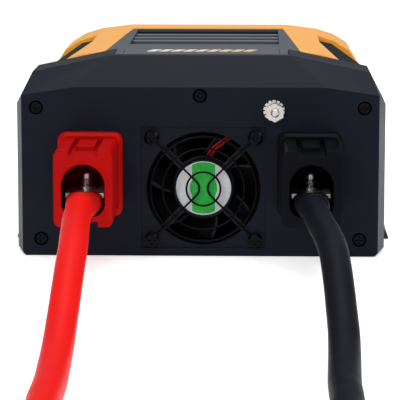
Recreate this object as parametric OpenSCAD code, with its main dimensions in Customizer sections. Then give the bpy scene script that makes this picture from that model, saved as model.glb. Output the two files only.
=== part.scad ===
// Power inverter: a flat aluminium tray and a moulded hood between two flared end caps.
// The origin is the middle of the base, on the surface it stands on. +Y runs from the
// battery end, with its fan and two covered terminals, to the socket end. +Z is up.

/* [Body] */
// Length over both end caps
body_l = 220; // [180:1:280]
// Height of the end caps
cap_h = 95.8; // [88:0.2:114]
// Greatest width of the end caps
cap_w = 179.8; // [170:0.2:216]
// Depth of the battery end's cap
cap_d = 47; // [44:0.5:52]
// Depth of the socket end's cap
rear_cap_d = 27; // [26:0.5:34]
// Depth of the sloping front of an end cap
cap_slope_d = 17; // [12:0.5:22]
// Wall of an end cap
cap_wall = 2.5; // [2:0.1:3]
// Width of the flat front panel
panel_w = 172; // [164:0.2:208]
// Height of the front panel
panel_h = 82; // [76:0.5:100]
// Chamfer of the lower corners
foot_chamfer = 1.5; // [1.5:0.1:5]

/* [Tray] */
// Width over the tray's side walls
tray_w = 166; // [156:0.5:202]
// Height of the tray's side walls
tray_h = 60; // [56:0.5:68]
// Thickness of the tray's floor and walls
tray_t = 2.5; // [2:0.1:3]
// Width over the mounting flanges
flange_w = 187.6; // [176:0.2:222]
// Length of a mounting flange
flange_l = 124; // [100:1:124]
// Height of a flange
flange_h = 4.7; // [4:0.1:6]
// Height of a flange at its sloping edge
flange_tip_h = 1; // [0.8:0.1:2]
// Radius of a mounting hole
mount_hole_r = 2.25; // [1.6:0.05:2.6]
// Distance between the mounting holes along the body
mount_pitch_y = 100; // [80:1:110]
// Distance of a mounting hole from the flange's edge
mount_edge = 4.8; // [4:0.1:6]
// Number of cooling ribs on a side wall
rib_count = 5; // [2:1:7]

/* [Hood] */
// Height of the hood's crown
hood_h = 95.3; // [90:0.1:115]
// Width over the hood's sides
hood_w = 167; // [157:0.5:203]
// Wall of the hood
hood_t = 2.4; // [2:0.1:3]
// Half width of the grey insert at its near end
insert_near = 49; // [46:0.5:54]
// Half width of the grey insert at its far end
insert_far = 41; // [40:0.5:46]
// Distance of the grey insert behind the front panel
insert_in = 23; // [20:0.5:30]
// Length of the grey insert
insert_l = 147; // [140:1:152]
// Width of the bay sunk in the insert
bay_w = 77; // [60:0.5:79]
// Height of the bay's floor
bay_floor = 85.5; // [84:0.25:104]
// Length of the name badge's shelf
badge_l = 30; // [20:0.5:32]
// Thickness of the name badge
badge_t = 1; // [0.6:0.1:1.5]
// Number of slats in the bay
slat_count = 3; // [2:1:4]
// Distance between slats
slat_pitch = 17.3; // [12:0.1:19]
// Width of a slat
slat_w = 7; // [4:0.5:10]
// Number of fins in a shoulder vent
fin_count = 11; // [8:1:14]
// Thickness of a fin
fin_t = 2; // [1.4:0.1:3]
// Gap left round an insert
insert_gap = 0.2; // [0.1:0.05:0.4]

/* [Fan] */
// Side of the square fan
fan_size = 60; // [50:1:62]
// Thickness of the fan
fan_t = 25; // [15:1:25]
// Distance between the fan's screws
fan_pitch = 50; // [40:0.5:52]
// Height of the fan's centre
fan_z = 33; // [32:0.25:45]
// Offset of the fan's centre to the right
fan_x = 1.7; // [-4:0.1:4]
// Radius of the fan's duct
fan_duct_r = 27.5; // [22:0.1:28.5]
// Radius of the fan's motor
motor_r = 14; // [10:0.1:16]
// Radius of the fan's shaft
fan_shaft_r = 1.5; // [1:0.05:2]
// Running gap between the shaft and its bearing
bearing_gap = 0.05; // [0.02:0.01:0.1]
// Gap between the blades and the duct
blade_gap = 0.9; // [0.5:0.1:2]
// Number of blades
blade_count = 7; // [5:1:9]
// Radius of the round label
label_r = 13.3; // [8:0.1:13.5]
// Radius of the guard's wire
guard_wire_r = 0.5; // [0.4:0.05:1]
// Radius of the bend in a guard's leg
guard_bend_r = 5; // [3:0.5:8]
// Angle from upright at which the leads leave the fan
lead_angle = 27; // [20:1:35]
// Radius of the guard's outer ring
guard_r = 25.5; // [20:0.1:27]

/* [Screws] */
// Radius of a screw's shank
screw_r = 1.75; // [1.25:0.05:2]
// Radius of a screw's head
screw_head_r = 3.1; // [2.4:0.1:3.6]
// Height of a screw's head
screw_head_h = 1.9; // [1.4:0.1:2.4]
// Gap round a screw in its hole
screw_gap = 0.25; // [0.1:0.05:0.4]

/* [Terminals] */
// Distance of each terminal from the middle
term_x = 52.7; // [50:0.1:60]
// Height of a terminal's middle
term_z = 40.5; // [38:0.5:48]
// Width of a terminal's base plate
term_base_w = 31; // [28:0.5:34]
// Height of a terminal's base plate
term_base_h = 40.5; // [37:0.5:46]
// Thickness of a terminal's base plate
term_base_t = 6; // [4:0.5:8]
// Width of a terminal's cover
cover_w = 27.3; // [25:0.1:31]
// Height of a terminal's cover
cover_h = 35.7; // [34:0.1:40]
// Length of a terminal's cover
cover_l = 43; // [34:0.5:50]
// Wall of a cover
cover_t = 2; // [1.6:0.1:2.4]
// Width of the channel along a cover
channel_w = 13.5; // [9:0.1:15]
// Depth of the channel along a cover
channel_d = 2.6; // [1.5:0.1:2.8]
// Width of the latch tongue in a channel
tongue_w = 8.5; // [5:0.5:9]
// Length of the latch tongue
tongue_l = 23; // [10:0.5:26]
// Width of the mouth in a cover
mouth_w = 20; // [18:0.1:22]
// Height of the mouth in a cover
mouth_h = 24.3; // [21:0.1:27]
// Gap between a cover and the spigot it sits on
cover_gap = 0.25; // [0.1:0.05:0.5]
// Travel of a cover along its cable
cover_travel = 30; // [20:1:35]
// Width of a terminal's metal bar
bar_w = 17; // [14:0.5:18.5]
// Thickness of a terminal's metal bar
bar_t = 3; // [2:0.1:4]

/* [Cables] */
// Diameter of a battery cable
cable_d = 12.5; // [10:0.1:12.5]
// Width of a cable lug's tongue
lug_w = 18; // [14:0.5:18.5]
// Thickness of a cable lug's tongue
lug_t = 2.2; // [1.5:0.1:3]
// Length of a cable lug's tongue
lug_l = 22; // [18:0.5:24]
// Length of a cable lug's barrel
lug_barrel_l = 10; // [8:0.5:14]
// Radius of the round end of the sleeve over a lug
boot_r = 6.8; // [6.8:0.1:7.1]
// Width of the flat end of the sleeve over a lug
boot_w = 18; // [14:0.5:18.5]
// Height of the flat end of the sleeve over a lug
boot_h = 9.4; // [9:0.1:10]
// Length of the sleeve over the far lug
far_sleeve_l = 28; // [20:0.5:28]

/* [Earth] */
// Distance of the earth stud from the middle
earth_x = 36; // [30:0.5:42]
// Height of the earth stud
earth_z = 70.5; // [66:0.5:74]
// Radius of the earth stud
earth_r = 2; // [1.5:0.05:2.5]
// Width of the earth nut across its flats
earth_nut_w = 8; // [7:0.1:10]
// Radius of the toothed washer
star_r = 5.1; // [4.9:0.1:7]

/* [Socket end] */
// Width of a socket's face
socket_w = 34; // [30:0.5:38]
// Height of a socket's face
socket_h = 44; // [40:0.5:48]
// Distance between the sockets
socket_pitch = 44; // [40:0.5:46]
// Width of the power switch's opening
switch_w = 15; // [12:0.5:18]
// Height of the power switch's opening
switch_h = 24; // [20:0.5:28]
// Angle through which the rocker tips
rocker_tilt = 14; // [8:1:18]

/* [Electronics] */
// Width of the main board
board_w = 130; // [110:1:136]
// Length of the main board
board_l = 140; // [120:1:142]
// Height of the main board's underside
board_z = 9; // [8:0.5:12]
// Thickness of the main board
board_t = 1.6; // [1.2:0.1:2]
// Number of transformers
transformer_count = 3; // [2:1:3]
// Number of transistors on each cooling bar
transistor_count = 6; // [3:1:7]

/* [Hidden] */
$fn = 48;

// The two end faces, and where the caps meet the tray.
y_front = -body_l / 2;
y_back = body_l / 2;
cap_in = body_l / 2 - cap_d;
rear_in = body_l / 2 - rear_cap_d;
fan_p = fan_pitch / 2;
panel_in = y_front + cap_wall;
// The cover's screw line, the earth stud and the badge all sit at a fixed depth in the front.
counterbore_d = screw_head_h + 0.3;
post_r = screw_head_r + 1.4;
screw_past = 12;
bite = screw_past + counterbore_d - screw_head_h;

// Half outlines, listed upwards from the lower corner; whole() mirrors them.
front_edge = [[cap_w / 2 - foot_chamfer, 0], [cap_w / 2, foot_chamfer],
              [cap_w / 2, cap_h - 23.4], [cap_w / 2 - 7.9, cap_h - 8],
              [cap_w / 2 - 45.9, cap_h]];
front_face = [[panel_w / 2 - foot_chamfer, 0], [panel_w / 2, foot_chamfer],
              [panel_w / 2, panel_h - 3.7], [panel_w / 2 - 25.4, panel_h]];
hood_x = hood_w / 2;
hood_half = [[hood_x, tray_h], [hood_x, hood_h - 20], [hood_x - 3, hood_h - 15],
             [hood_x - 6.3, hood_h - 9.7], [hood_x - 14, hood_h - 5],
             [hood_x - 23.3, hood_h - 2.1], [hood_x - 40.3, hood_h]];
hood_deep = [for (p = hood_half) [p.x, p.y == tray_h ? tray_h / 2 : p.y]];
// The socket end's cap fits just inside the hood, and its face is smaller again.
function rear_half(in, down) = concat(
    [[hood_x - in - foot_chamfer, 0], [hood_x - in, foot_chamfer]],
    [for (i = [1:len(hood_half) - 1]) hood_half[i] - [in, down]]);
rear_edge = rear_half(0.5, hood_t + 0.2);
rear_face = rear_half(4.5, 9);

// Screw places in each end's face: two high at the sides, one at the top, two low.
function five_screws(side, high, top, low_side) =
    [[side, high], [-side, high], [0, top], [low_side, 8.2], [-low_side, 8.2]];
front_screws = five_screws(panel_w / 2 - 7.1, panel_h - 9.8, panel_h - 4, panel_w / 2 - 9);
rear_screws = five_screws(hood_x - 12, hood_h - 29.5, hood_h - 15, hood_x - 9.5);

function whole(h) = concat(h, [for (i = [len(h) - 1:-1:0]) [-h[i].x, h[i].y]]);
function unit(v) = v / norm(v);
function left_of(a, b) = let (u = unit(b - a)) [-u.y, u.x];
// Moves every side of an outline inwards by d.
function inset(p, d) = let (n = len(p)) [for (i = [0:n - 1])
    let (m = left_of(p[(i + n - 1) % n], p[i]), k = left_of(p[i], p[(i + 1) % n]))
    p[i] + d / (1 + m * k) * (m + k)];

// Extrudes an X-Z outline from y0 to y1.
module slab(y0, y1) translate([0, y1, 0]) rotate([90, 0, 0]) linear_extrude(y1 - y0) children();
// A rod along +Y.
module rod(r, l, r2 = undef) rotate([-90, 0, 0]) cylinder(r1 = r, r2 = is_undef(r2) ? r : r2, h = l);
module at_xz(p, y = 0) translate([p.x, y, p.y]) children();
module block(x, y, z) translate([x[0], y[0], z[0]]) cube([x[1] - x[0], y[1] - y[0], z[1] - z[0]]);
module both_sides() { children(); mirror([1, 0, 0]) children(); }
module other_end() rotate([0, 0, 180]) children();

// ---- End caps -------------------------------------------------------------------------
// A flared solid from a face at the very front to a wider edge, both given as half outlines.
module flare(face, edge, depth, wall = 0, past = 0) hull() {
    slab(y_front + wall, y_front + wall + 0.6) polygon(inset(whole(face), wall));
    slab(y_front + cap_slope_d, y_front + depth + past) polygon(inset(whole(edge), wall));
}
// The flared shell both caps share, with its open side towards the tray.
module cap_shell(face, edge, screws, depth) intersection() {
    union() {
        difference() {
            flare(face, edge, depth);
            flare(face, edge, depth, cap_wall, 1);
        }
        for (p = screws) at_xz(p, panel_in - 0.5) rod(post_r, depth - cap_wall + 0.5);
    }
    flare(face, edge, depth);
}
module cap_screw_holes(screws, depth) for (p = screws) at_xz(p, y_front) {
    translate([0, -1, 0]) rod(screw_head_r + 0.3, counterbore_d + 1);
    translate([0, -1, 0]) rod(screw_r + screw_gap, depth + 2);
}

module dc_end_cap() {
    color([0.07, 0.08, 0.11]) difference() {
        cap_shell(front_face, front_edge, front_screws, cap_d);
        cap_screw_holes(front_screws, cap_d);
        // Notch in the top for the hood insert's tongue.
        block([-insert_tongue - insert_gap, insert_tongue + insert_gap],
              [insert_y - insert_gap, -cap_in + 1], [insert_z - insert_gap, cap_h + 1]);
        // Shallow square seat and round duct of the fan.
        translate([fan_x, y_front, fan_z]) {
            block([-fan_size / 2, fan_size / 2], [-1, 0.7], [-fan_size / 2 + 1, fan_size / 2]);
            translate([0, -1, 0]) rod(fan_duct_r, cap_wall + 2);
            for (x = [-1, 1], z = [-1, 1]) translate([x * fan_p, -1, z * fan_p])
                rod(screw_r + screw_gap, cap_wall + 2);
        }
        both_sides() translate([term_x, 0, bar_z])
            block([-bar_w / 2 - 1, bar_w / 2 + 1], [y_front - 1, panel_in + 1],
                  [-bar_t - 1, 1]);
        at_xz([earth_x, earth_z], y_front - 1) rod(earth_r + 0.2, cap_wall + 2);
    }
}

socket_x = [-socket_pitch - 4, -4];
socket_z = 42;
switch_x = 50;
switch_z = 54;
usb_z = 26;
usb_w = 15;
usb_h = 9;
lens_z = [38, 46, 54];
lens_x = 68;
lens_r = 2.5;

// Seen from the back, so its X runs the other way round from the front cap's.
module ac_end_cap() {
    color([0.07, 0.08, 0.11]) other_end() difference() {
        cap_shell(rear_face, rear_edge, rear_screws, rear_cap_d);
        cap_screw_holes(rear_screws, rear_cap_d);
        for (x = socket_x) translate([x, y_front, socket_z])
            block([-socket_w / 2, socket_w / 2], [-1, 5], [-socket_h / 2, socket_h / 2]);
        translate([switch_x, y_front, switch_z])
            block([-switch_w / 2, switch_w / 2], [-1, 5], [-switch_h / 2, switch_h / 2]);
        translate([switch_x, y_front, usb_z])
            block([-usb_w / 2, usb_w / 2], [-1, 5], [-usb_h / 2, usb_h / 2]);
        for (z = lens_z) at_xz([lens_x, z], y_front - 1) rod(lens_r + 0.1, 6);
    }
}

// A cross-head screw along +Y with its head's face at y = 0.
module panel_screw(l) difference() {
    union() {
        rod(screw_head_r - 0.5, 0.5, screw_head_r);
        translate([0, 0.5, 0]) rod(screw_head_r, screw_head_h - 0.5);
        translate([0, screw_head_h, 0]) rod(screw_r, l - screw_head_h);
    }
    for (a = [0, 90]) rotate([0, a, 0])
        block([-screw_head_r * 0.62, screw_head_r * 0.62], [-1, 1.1], [-0.45, 0.45]);
}
module cap_screws(screws, depth) for (p = screws)
    at_xz(p, y_front + counterbore_d - screw_head_h) panel_screw(depth + screw_past);
module dc_panel_screws() { color([0.1, 0.1, 0.12]) cap_screws(front_screws, cap_d); }
module ac_panel_screws() {
    color([0.1, 0.1, 0.12]) other_end() cap_screws(rear_screws, rear_cap_d);
}

// ---- Tray -----------------------------------------------------------------------------
rib_out = 1.5;
boss_r = screw_r + 2.2;
boss_l = bite + 4;
mount_x = flange_w / 2 - mount_edge;
standoff_x = board_w / 2 - 6;
standoff_y = board_l / 2 - 16;
standoff_r = 3.2;

module base_tray() {
    tx = tray_w / 2;
    color([0.1, 0.1, 0.11]) difference() {
        union() {
            block([-tx, tx], [-cap_in, rear_in], [0, tray_t]);
            both_sides() {
                block([tx - tray_t, tx], [-cap_in, rear_in], [0, tray_h]);
                slab(-flange_l / 2, flange_l / 2) polygon([[tx - 1, 0], [flange_w / 2, 0],
                    [flange_w / 2, flange_tip_h], [flange_w / 2 - 1.9, flange_h],
                    [tx - 1, flange_h]]);
                for (i = [1:rib_count]) translate([0, 0, i * (tray_h - 6) / rib_count])
                    block([tx - 0.5, tx + rib_out], [-cap_in + 6, rear_in - 6], [0, 2]);
                // Screw channels for the lower corner screws of both end panels.
                for (end = [[front_screws[3], -cap_in], [rear_screws[3], rear_in - boss_l]]) {
                    at_xz(end[0], end[1]) rod(boss_r, boss_l);
                    block([end[0].x, tx - 1], [end[1], end[1] + boss_l], [1, 5]);
                }
            }
            for (x = [-1, 1], y = [-1, 1])
                translate([x * standoff_x, y * standoff_y, 0]) cylinder(r = standoff_r, h = board_z);
        }
        for (i = [3, 4]) {
            at_xz(front_screws[i], -cap_in - 2) rod(screw_r + 0.02, boss_l);
            at_xz(rear_screws[i], rear_in - bite - 2) rod(screw_r + 0.02, boss_l);
        }
        for (x = [-1, 1], y = [-1, 1]) translate([x * mount_x, y * mount_pitch_y / 2, -1])
            cylinder(r = mount_hole_r, h = flange_h + 2);
        for (x = [-1, 1], y = [-1, 1]) translate([x * standoff_x, y * standoff_y, tray_t])
            cylinder(r = 1.52, h = board_z);
    }
}

// ---- Hood -----------------------------------------------------------------------------
insert_y = y_front + insert_in;
insert_end = insert_y + insert_l;
insert_tongue = bay_w / 2 + 4;
insert_z = bay_floor - 2.5;
vent_far_in = rear_in - 40;
vent_far_out = rear_in - 54;
vent_in_near = hood_x - 15.5;
vent_in_far = hood_x - 23.5;
vent_side = flange_w / 2 - 7.3;

// The insert's outline seen from above, grown by g.
module insert_plan(g) polygon([[-insert_near - g, -cap_in - g], [insert_near + g, -cap_in - g],
    [insert_far + g, insert_end + g], [-insert_far - g, insert_end + g]]);
// The right shoulder vent's outline seen from above, grown by g.
module vent_plan(g) polygon([[vent_in_near - g, -cap_in - g], [vent_side + 10, -cap_in - g],
    [vent_side + 10, vent_far_out + g], [vent_in_far - g, vent_far_in + g],
    [vent_in_far - g, vent_far_in - 40]]);

module hood_cover() {
    color([1, 0.62, 0.16]) difference() {
        union() {
            difference() {
                slab(-cap_in, rear_in) polygon(whole(hood_half));
                slab(-cap_in - 1, rear_in + 1) polygon(inset(whole(hood_deep), hood_t));
                translate([0, 0, hood_h - 20]) linear_extrude(30) insert_plan(0);
                both_sides() translate([0, 0, tray_h - 1]) linear_extrude(60) vent_plan(0);
            }
            // Far wall of each shoulder vent, which closes the hood's shell there.
            both_sides() intersection() {
                slab(-cap_in, rear_in) polygon(whole(hood_half));
                translate([0, 0, tray_h + 0.5]) linear_extrude(60) difference() {
                    polygon([[vent_in_far, vent_far_in], [vent_side + 10, vent_far_out],
                        [vent_side + 10, vent_far_out + hood_t],
                        [vent_in_far, vent_far_in + hood_t]]);
                }
            }
            // Bosses for the socket end's three upper screws, on webs from the shell.
            for (i = [0, 1, 2]) at_xz(rear_screws[i], rear_in - bite) rod(boss_r, bite);
            both_sides() block([rear_screws[0].x + boss_r - 0.5, hood_x - 1],
                               [rear_in - bite, rear_in],
                               [rear_screws[0].y - 1, rear_screws[0].y + 1]);
            block([-1.2, 1.2], [rear_in - bite, rear_in],
                  [rear_screws[2].y + boss_r - 0.5, hood_h - 1]);
        }
        for (i = [0, 1, 2]) at_xz(rear_screws[i], rear_in - bite - 2) rod(screw_r + 0.02, boss_l);
    }
}

// A tongue of the insert reaches over the battery end's cap and carries the badge.
tongue_top = cap_h - 0.2;
shelf_z = tongue_top - badge_t;
shelf_y = insert_y + 4;
bay_y = shelf_y + badge_l + 25;
module hood_insert() {
    color([0.24, 0.26, 0.3]) difference() {
        union() {
            intersection() {
                slab(-cap_in, insert_end) polygon(inset(whole(hood_half), 0.3));
                translate([0, 0, insert_z]) linear_extrude(30) insert_plan(-insert_gap);
            }
            block([-insert_tongue, insert_tongue], [insert_y, -cap_in + 1],
                  [insert_z, tongue_top]);
            at_xz(front_screws[2], -cap_in + insert_gap) rod(boss_r, bite);
            block([-1.2, 1.2], [-cap_in + insert_gap, -cap_in + bite],
                  [front_screws[2].y + 1, insert_z + 1]);
        }
        block([-bay_w / 2, bay_w / 2], [bay_y, insert_end - 4], [bay_floor, hood_h + 5]);
        block([-bay_w / 2, bay_w / 2], [shelf_y, shelf_y + badge_l], [shelf_z, hood_h + 5]);
        at_xz(front_screws[2], -cap_in - 2) rod(screw_r + 0.02, boss_l);
    }
}

module name_badge() {
    color([0.1, 0.11, 0.13]) block([-bay_w / 2 + insert_gap, bay_w / 2 - insert_gap],
        [shelf_y + insert_gap, shelf_y + badge_l - insert_gap], [shelf_z, shelf_z + badge_t]);
}

slat_first = bay_y + 29.75;
slat_z = shelf_z - 0.6;
module louvre_slats() {
    color([0.62, 0.64, 0.67]) for (i = [0:slat_count - 1]) translate([0, slat_first + i * slat_pitch, 0])
        block([-bay_w / 2, bay_w / 2], [-slat_w / 2, slat_w / 2], [slat_z - 2.4, slat_z]);
}

// A run of fins down one shoulder, from the hood's edge to the tray's wall.
fin_top = [[vent_in_far - 6, hood_h - 2], [vent_in_near - 1, hood_h - 4.9],
           [vent_side, hood_h - 18.8], [vent_side, tray_h]];
fin_low = [[hood_x - 1, tray_h], [hood_x - 1, hood_h - 21.5], [vent_in_near - 1, hood_h - 11],
           [vent_in_far - 6, hood_h - 8]];
vent_back = [[hood_x - 3, tray_h], [hood_x - 3, hood_h - 22.8],
             [vent_in_near - 2, hood_h - 13.2], [vent_in_far - 6, hood_h - 10.2]];
module shoulder_vent() difference() {
    intersection() {
        union() {
            slab(-cap_in, rear_in) polygon(concat(fin_low, [for (i = [3:-1:0]) vent_back[i]]));
            for (i = [0:fin_count - 1])
                translate([0, -cap_in + 3 + i * (cap_in + vent_far_out - 10) / (fin_count - 1), 0])
                    slab(0, fin_t) polygon(concat(fin_top, fin_low));
            at_xz(front_screws[0], -cap_in) rod(boss_r, bite);
        }
        translate([0, 0, tray_h]) linear_extrude(60) vent_plan(-insert_gap);
    }
    at_xz(front_screws[0], -cap_in - 2) rod(screw_r + 0.02, boss_l);
}
module right_shoulder_vent() { color([0.06, 0.06, 0.07]) shoulder_vent(); }
module left_shoulder_vent() { color([0.06, 0.06, 0.07]) mirror([1, 0, 0]) shoulder_vent(); }

// ---- Fan ------------------------------------------------------------------------------
fan_y = panel_in + 0.05;
strut_t = 2.4;
motor_t = 4;
rotor_y = motor_t + 1;
rotor_l = fan_t - motor_t - 2.5;
hub_r = motor_r + 1.2;

module in_fan() translate([fan_x, fan_y, fan_z]) children();
module fan_frame() {
    h = fan_size / 2;
    color([0.05, 0.05, 0.06]) in_fan() {
        difference() {
            union() {
                block([-h, h], [0, 3.2], [-h, h]);
                block([-h, h], [fan_t - 3.2, fan_t], [-h, h]);
                rod(fan_duct_r + 1.8, fan_t);
                for (x = [-1, 1], z = [-1, 1]) translate([x * fan_p, 0, z * fan_p]) rod(3.6, fan_t);
            }
            translate([0, -1, 0]) rod(fan_duct_r, fan_t + 2);
            for (x = [-1, 1], z = [-1, 1]) translate([x * fan_p, -1, z * fan_p])
                rod(screw_r + 0.02, fan_t + 2);
            // Notch in the rim where the leads leave.
            rotate([0, lead_angle, 0])
                block([-2.2, 2.2], [strut_t + 0.1, fan_t - 4], [fan_duct_r - 1, h + 14]);
        }
        difference() {
            for (a = [0, 90, 180, 270]) rotate([0, a + 45, 0])
                block([-1.6, 1.6], [0, strut_t], [motor_r - 1.5, fan_duct_r + 1]);
            translate([0, -1, 0]) rod(motor_r, fan_t);
        }
    }
}
module fan_motor() {
    color([0.08, 0.08, 0.09]) in_fan() difference() {
        union() {
            rod(motor_r, motor_t);
            translate([0, motor_t - 0.1, 0]) rod(3.4, 9);
            translate([0, motor_t - 0.1, 0]) rod(motor_r - 5, 5);
        }
        translate([0, 1, 0]) rod(fan_shaft_r + bearing_gap, fan_t);
        translate([0, -1, 0]) rod(label_r + 0.2, 1.3);
    }
}
module fan_label() { color([0.16, 0.62, 0.36]) in_fan() rod(label_r, 0.3); }
module fan_rotor() {
    tip_r = fan_duct_r - blade_gap;
    color([0.05, 0.05, 0.06]) in_fan() translate([0, rotor_y, 0]) {
        difference() {
            rod(hub_r, rotor_l);
            translate([0, -1, 0]) rod(hub_r - 1.4, rotor_l - 1);
        }
        translate([0, -2.5, 0]) rod(fan_shaft_r, rotor_l + 2);
        intersection() {
            for (i = [0:blade_count - 1]) rotate([0, i * 360 / blade_count, 0])
                translate([0, rotor_l / 2, hub_r - 0.4]) rotate([0, 0, 38])
                    block([-0.8, 0.8], [-rotor_l / 2 - 2, rotor_l / 2 + 2], [0, fan_size / 2]);
            difference() {
                rod(tip_r, rotor_l);
                translate([0, -1, 0]) rod(hub_r - 0.6, rotor_l + 2);
            }
        }
    }
}

guard_y = y_front + 0.7 - guard_wire_r;
eye_r = screw_r + screw_gap + guard_wire_r + 0.3;
leg_run = fan_p * sqrt(2) - eye_r - guard_bend_r;
bend_lap = 0.4;
module ring(r) rotate([90, 0, 0]) rotate_extrude() translate([r, 0]) circle(r = guard_wire_r, $fn = 16);
module fan_guard() {
    color([0.05, 0.05, 0.06]) translate([fan_x, guard_y, fan_z]) {
        for (i = [1:4]) translate([0, -1.9 * guard_wire_r, 0]) ring(guard_r - (4 - i) * (guard_r - 8.2) / 3);
        // Each leg runs in from one corner, bends a quarter turn at the middle and runs out again.
        for (s = [0, 180]) rotate([0, s, 0]) {
            for (a = [45, 135]) rotate([0, a, 0]) translate([0, 0, guard_bend_r - bend_lap])
                cylinder(r = guard_wire_r, h = leg_run + bend_lap);
            translate([guard_bend_r * sqrt(2), 0, 0]) rotate([90, 0, 0]) rotate([0, 0, 135])
                rotate_extrude(angle = 90) translate([guard_bend_r, 0])
                    circle(r = guard_wire_r + 0.04, $fn = 16);
        }
        for (x = [-1, 1], z = [-1, 1]) translate([x * fan_p, 0, z * fan_p]) ring(eye_r);
    }
}
module fan_screws() {
    color([0.1, 0.1, 0.12]) for (x = [-1, 1], z = [-1, 1])
        translate([fan_x + x * fan_p, guard_y - guard_wire_r - screw_head_h - 0.02, fan_z + z * fan_p])
            difference() {
                union() {
                    rod(screw_head_r - 0.5, 0.7, screw_head_r + 0.5);
                    translate([0, 0.7, 0]) rod(screw_head_r + 0.5, screw_head_h - 0.7);
                    translate([0, screw_head_h, 0]) rod(screw_r, fan_t + cap_wall - 2);
                }
                for (a = [0, 90]) rotate([0, a, 0])
                    block([-2.1, 2.1], [-1, 1.2], [-0.45, 0.45]);
            }
}

// Sweeps a round section along a list of points.
function tangent(p, i) = unit(p[min(i + 1, len(p) - 1)] - p[max(i - 1, 0)]);
function ring_at(p, i, r, n) = let (t = tangent(p, i),
    s = unit(abs(t.z) > 0.9 ? cross(t, [1, 0, 0]) : cross(t, [0, 0, 1])), u = cross(s, t))
    [for (k = [0:n - 1]) p[i] + r * (cos(360 * k / n) * s + sin(360 * k / n) * u)];
module tube(p, r, n) {
    m = len(p);
    polyhedron([for (i = [0:m - 1]) each ring_at(p, i, r, n)],
        concat([[for (k = [0:n - 1]) k]], [[for (k = [n - 1:-1:0]) (m - 1) * n + k]],
            [for (i = [0:m - 2], k = [0:n - 1]) let (q = (k + 1) % n)
                each [[i * n + k, (i + 1) * n + k, (i + 1) * n + q],
                      [i * n + k, (i + 1) * n + q, i * n + q]]]));
}

// The fan's two leads run from the motor through the notch, over the frame and to the board.
lead_r = 0.65;
lead_end_y = -board_l / 2 + 3;
module fan_leads() {
    out = [sin(lead_angle), 0, cos(lead_angle)];
    top = (fan_size / 2 + 2) / cos(lead_angle);
    for (s = [-1, 1]) {
        o = [fan_x, fan_y, fan_z] + s * 0.85 * [cos(lead_angle), 0, -sin(lead_angle)];
        color(s > 0 ? "red" : [0.1, 0.1, 0.12]) tube([
            o + [2.5, strut_t + 0.9, motor_r + 1.2],
            o + [5, strut_t + 1, motor_r + 5],
            o + [0, strut_t + 1.2, 0] + fan_duct_r * out,
            o + [0, strut_t + 3, 0] + (top - 1) * out,
            o + [0, strut_t + 8, 0] + top * out,
            o + [0, fan_t - 8, 0] + top * out,
            o + [2, fan_t + 3, 0] + top * out,
            [fan_x + 26 + s * 0.9, lead_end_y, fan_z + 8],
            [fan_x + 26 + s * 0.9, lead_end_y, board_z + board_t]], lead_r, 8);
    }
}

// ---- Earth stud -----------------------------------------------------------------------
star_t = 0.8;
earth_nut_t = 4;
star_teeth = 14;
module at_earth(y) at_xz([earth_x, earth_z], y) children();
module ground_star_washer() {
    // Its hole is loose on the stud, so it hangs off centre until the nut is tight.
    color([0.85, 0.85, 0.84]) at_earth(y_front - star_t) translate([-0.5, 0, 0.7]) difference() {
        union() {
            rod(star_r - 0.9, star_t);
            for (i = [0:star_teeth - 1]) rotate([0, i * 360 / star_teeth, 0])
                block([-0.75, 0.75], [0, star_t], [star_r - 2, star_r]);
        }
        translate([0, -1, 0]) rod(earth_r + 0.95, star_t + 2);
    }
}
module ground_nut() {
    color([0.88, 0.88, 0.87]) at_earth(y_front - star_t - earth_nut_t) difference() {
        rotate([-90, 30, 0]) cylinder(r = earth_nut_w / 2 / cos(30), h = earth_nut_t, $fn = 6);
        translate([0, -1, 0]) rod(earth_r + 0.02, earth_nut_t + 2);
    }
}
module ground_stud() {
    color([0.85, 0.85, 0.84]) at_earth(y_front - star_t - earth_nut_t - 2.2) {
        rod(earth_r - 0.6, 0.6, earth_r);
        translate([0, 0.6, 0]) rod(earth_r, star_t + earth_nut_t + cap_wall + 1.6);
        translate([0, star_t + earth_nut_t + 2.2 + cap_wall, 0]) rod(earth_r + 2, 2);
    }
}

// ---- Terminals ------------------------------------------------------------------------
cover_y = y_front - term_base_t;
cover_front = cover_y - cover_l;
cavity_w = cover_w - 2 * cover_t;
cavity_h = cover_h - 2 * (channel_d + 1.4);
// The lug's tongue lies across the middle of the mouth, on the terminal's bar.
mouth_z = term_z - cover_h / 2 + 5;
lug_z = mouth_z + 8.35;
bar_z = lug_z - lug_t / 2;
post_y = cover_y - 19;
washer_t = 1.6;

module at_term(s) translate([s * term_x, 0, 0]) children();
// A block with rounded edges along Y.
module soft_block(w, h, y0, y1, r) hull() for (x = [-1, 1], z = [-1, 1])
    translate([x * (w / 2 - r), y0, term_z + z * (h / 2 - r)]) rotate([-90, 0, 0])
        cylinder(r = r, h = y1 - y0, $fn = 32);

module terminal_base() difference() {
    union() {
        hull() {
            soft_block(term_base_w, term_base_h, y_front - term_base_t + 1.5, y_front, 4);
            soft_block(term_base_w - 3, term_base_h - 3, cover_y, y_front, 3);
        }
        block([-cavity_w / 2 + cover_gap, cavity_w / 2 - cover_gap], [cover_y - 4, cover_y + 1],
              [term_z - cavity_h / 2 + cover_gap, term_z + cavity_h / 2 - cover_gap]);
    }
    block([-bar_w / 2 - 0.1, bar_w / 2 + 0.1], [cover_y - 10, y_front + 1],
          [bar_z - bar_t - 0.1, bar_z + 0.1]);
}
module red_terminal_base() { color([0.8, 0.07, 0.05]) at_term(-1) terminal_base(); }
module black_terminal_base() { color([0.06, 0.06, 0.07]) at_term(1) terminal_base(); }

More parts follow.
